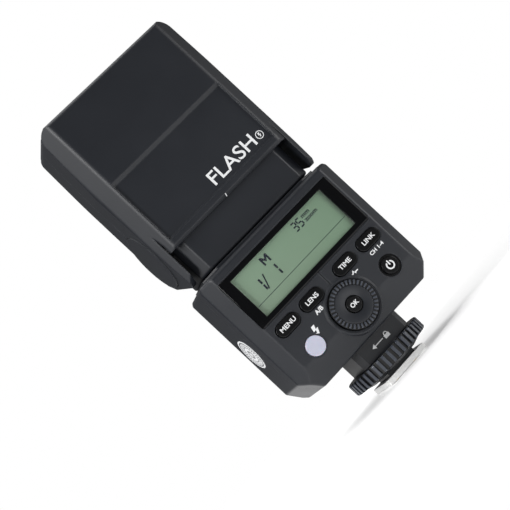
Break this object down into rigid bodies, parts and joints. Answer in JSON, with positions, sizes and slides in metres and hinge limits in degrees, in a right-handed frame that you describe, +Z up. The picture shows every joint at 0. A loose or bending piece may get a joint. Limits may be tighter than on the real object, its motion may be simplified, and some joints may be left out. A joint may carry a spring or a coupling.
{
  "type": "speedlight flash",
  "caption": "Compact shoe-mounted flash unit: tilting and swivelling lamp head on a hinged neck, control panel with screen, keys and dial, knurled lock ring and shoe foot.",
  "frame": {"origin": "centre of the hot-shoe foot's underside", "axes": "+Z up along the unit with the head straight up; the control panel faces -Y; +X to the right of someone facing the panel"},
  "size_m": [0.0624, 0.0384, 0.1404],
  "materials": {
    "case_plastic": "fine-textured black moulding",
    "head_plastic": "fine-textured black moulding",
    "neck_plastic": "fine-textured black moulding",
    "foot_plastic": "satin black moulding",
    "key_rubber": "satin black",
    "test_key": "translucent lavender grey",
    "dial_plastic": "satin black",
    "screen_cover": "polished black border round a clear window",
    "screen_glass": "grey-green liquid crystal",
    "light_guide": "frosted white",
    "board_green": "solder mask",
    "inner_black": "plain black moulding",
    "bright_steel": "satin",
    "shoe_metal": "bright plated",
    "gold_contact": "gold plated",
    "cell_sleeve": "printed sleeve, no text",
    "capacitor_sleeve": "shrink sleeve",
    "sensor_red": "dark red translucent",
    "sticker_foil": "silver white foil",
    "lens_clear": "clear acrylic with fresnel ridges",
    "card_white": "white",
    "mirror_reflector": "polished",
    "tube_glass": "clear",
    "cover_rubber": "matt black"
  },
  "bodies": {
    "case": {"rear_shell": "case_plastic", "front_shell": "case_plastic", "swivel_plate": "neck_plastic", "foot_block": "foot_plastic", "shoe_plate": "shoe_metal", "shoe_insulator": "inner_black", "foot_screws": "bright_steel", "case_screws": "bright_steel", "lcd_window": "screen_cover", "lcd_panel": "screen_glass", "lcd_backlight": "light_guide", "control_board": "board_green", "dial_encoder": "inner_black", "battery_box": "inner_black", "battery_cells": "cell_sleeve", "battery_contacts": "bright_steel", "main_capacitor": "capacitor_sleeve", "usb_port": "bright_steel", "seal_sticker": "sticker_foil", "sensor_window": "sensor_red", "focus_lamp": "lens_clear"},
    "lock_ring": {"lock_ring": "foot_plastic"},
    "clamp_plate": {"clamp_plate": "foot_plastic"},
    "lock_pin": {"lock_pin": "bright_steel"},
    "neck": {"neck_rear_shell": "neck_plastic", "neck_front_shell": "neck_plastic", "swivel_shaft": "inner_black", "retaining_ring": "bright_steel", "tilt_axles": "bright_steel", "detent_spring": "bright_steel"},
    "head": {"head_rear_shell": "head_plastic", "head_front_shell": "head_plastic", "ear_caps": "head_plastic", "lens_bezel": "head_plastic", "fresnel_lens": "lens_clear", "card_tray": "inner_black", "head_screws": "bright_steel", "zoom_motor": "bright_steel", "guide_rod": "bright_steel"},
    "zoom_unit": {"zoom_carriage": "inner_black", "reflector": "mirror_reflector", "flash_tube": "tube_glass"},
    "lead_screw": {"lead_screw": "bright_steel"},
    "wide_panel": {"wide_panel": "lens_clear"},
    "bounce_card": {"bounce_card": "card_white"},
    "battery_door": {"battery_door": "case_plastic"},
    "door_pin": {"door_pin": "bright_steel"},
    "port_cover": {"port_cover": "cover_rubber"},
    "select_dial": {"select_dial": "dial_plastic"},
    "mode_button": {"mode_button": "key_rubber"},
    "zoom_button": {"zoom_button": "key_rubber"},
    "sync_button": {"sync_button": "key_rubber"},
    "link_button": {"link_button": "key_rubber"},
    "test_button": {"test_button": "test_key"},
    "power_button": {"power_button": "key_rubber"},
    "set_button": {"set_button": "key_rubber"},
    "contact_pin_1": {"contact_pin_1": "gold_contact"},
    "contact_pin_2": {"contact_pin_2": "gold_contact"},
    "contact_pin_3": {"contact_pin_3": "gold_contact"},
    "contact_pin_4": {"contact_pin_4": "gold_contact"}
  },
  "joints": [
    {"name": "head_swivel", "type": "hinge", "parent": "case", "child": "neck", "pos_m": [0, 0.002, 0.067], "axis": [0, 0, 1], "range_deg": [-90, 180]},
    {"name": "head_tilt", "type": "hinge", "parent": "neck", "child": "head", "pos_m": [0, 0.004, 0.0855], "axis": [-1, 0, 0], "range_deg": [0, 97]},
    {"name": "zoom_travel", "type": "slide", "parent": "head", "child": "zoom_unit", "axis": [0, 0, 1], "range_m": [0, 0.008]},
    {"name": "zoom_screw", "type": "hinge", "parent": "head", "child": "lead_screw", "pos_m": [-0.025, 0.0048, 0.12], "axis": [0, 0, 1], "range_deg": [0, 1440]},
    {"name": "wide_panel_slide", "type": "slide", "parent": "head", "child": "wide_panel", "axis": [0, 0, 1], "range_m": [0, 0.028]},
    {"name": "bounce_card_slide", "type": "slide", "parent": "head", "child": "bounce_card", "axis": [0, 0, 1], "range_m": [0, 0.03]},
    {"name": "dial_turn", "type": "hinge", "parent": "case", "child": "select_dial", "pos_m": [0, -0.017, 0.0272], "axis": [0, -1, 0], "continuous": true},
    {"name": "door_slide", "type": "slide", "parent": "case", "child": "door_pin", "axis": [0, 0, 1], "range_m": [0, 0.004]},
    {"name": "door_swing", "type": "hinge", "parent": "door_pin", "child": "battery_door", "pos_m": [0.0297, 0.009, 0.0373], "axis": [0, 0, 1], "range_deg": [0, 110]},
    {"name": "port_flap", "type": "hinge", "parent": "case", "child": "port_cover", "pos_m": [0.0305, 0.0052, 0.0605], "axis": [0, 0, 1], "range_deg": [0, 110]},
    {"name": "lock_turn", "type": "hinge", "parent": "case", "child": "lock_ring", "pos_m": [0, 0, 0.007], "axis": [0, 0, 1], "range_deg": [0, 120]},
    {"name": "clamp_travel", "type": "slide", "parent": "case", "child": "clamp_plate", "axis": [0, 0, -1], "range_m": [0, 0.0008]},
    {"name": "lock_pin_travel", "type": "slide", "parent": "case", "child": "lock_pin", "axis": [0, 0, -1], "range_m": [0, 0.0014]},
    {"name": "mode_press", "type": "slide", "parent": "case", "child": "mode_button", "axis": [0, 1, 0], "range_m": [0, 0.0004], "stiffness_N_per_m": 800, "springref_m": -0.0003},
    {"name": "zoom_press", "type": "slide", "parent": "case", "child": "zoom_button", "axis": [0, 1, 0], "range_m": [0, 0.0004], "stiffness_N_per_m": 800, "springref_m": -0.0003},
    {"name": "sync_press", "type": "slide", "parent": "case", "child": "sync_button", "axis": [0, 1, 0], "range_m": [0, 0.0004], "stiffness_N_per_m": 800, "springref_m": -0.0003},
    {"name": "link_press", "type": "slide", "parent": "case", "child": "link_button", "axis": [0, 1, 0], "range_m": [0, 0.0004], "stiffness_N_per_m": 800, "springref_m": -0.0003},
    {"name": "test_press", "type": "slide", "parent": "case", "child": "test_button", "axis": [0, 1, 0], "range_m": [0, 0.0004], "stiffness_N_per_m": 800, "springref_m": -0.0003},
    {"name": "power_press", "type": "slide", "parent": "case", "child": "power_button", "axis": [0, 1, 0], "range_m": [0, 0.0004], "stiffness_N_per_m": 800, "springref_m": -0.0003},
    {"name": "set_press", "type": "slide", "parent": "case", "child": "set_button", "axis": [0, 1, 0], "range_m": [0, 0.0004], "stiffness_N_per_m": 800, "springref_m": -0.0003},
    {"name": "contact_1_travel", "type": "slide", "parent": "case", "child": "contact_pin_1", "axis": [0, 0, 1], "range_m": [0, 0.0004], "stiffness_N_per_m": 500, "springref_m": -0.0002},
    {"name": "contact_2_travel", "type": "slide", "parent": "case", "child": "contact_pin_2", "axis": [0, 0, 1], "range_m": [0, 0.0004], "stiffness_N_per_m": 500, "springref_m": -0.0002},
    {"name": "contact_3_travel", "type": "slide", "parent": "case", "child": "contact_pin_3", "axis": [0, 0, 1], "range_m": [0, 0.0004], "stiffness_N_per_m": 500, "springref_m": -0.0002},
    {"name": "contact_4_travel", "type": "slide", "parent": "case", "child": "contact_pin_4", "axis": [0, 0, 1], "range_m": [0, 0.0004], "stiffness_N_per_m": 500, "springref_m": -0.0002}
  ],
  "couplings": [
    {"joint": "zoom_screw", "follows": "zoom_travel", "rad_per_m": 3141.6},
    {"joint": "clamp_travel", "follows": "lock_turn", "m_per_rad": 0.00038},
    {"joint": "lock_pin_travel", "follows": "lock_turn", "m_per_rad": 0.00066}
  ]
}
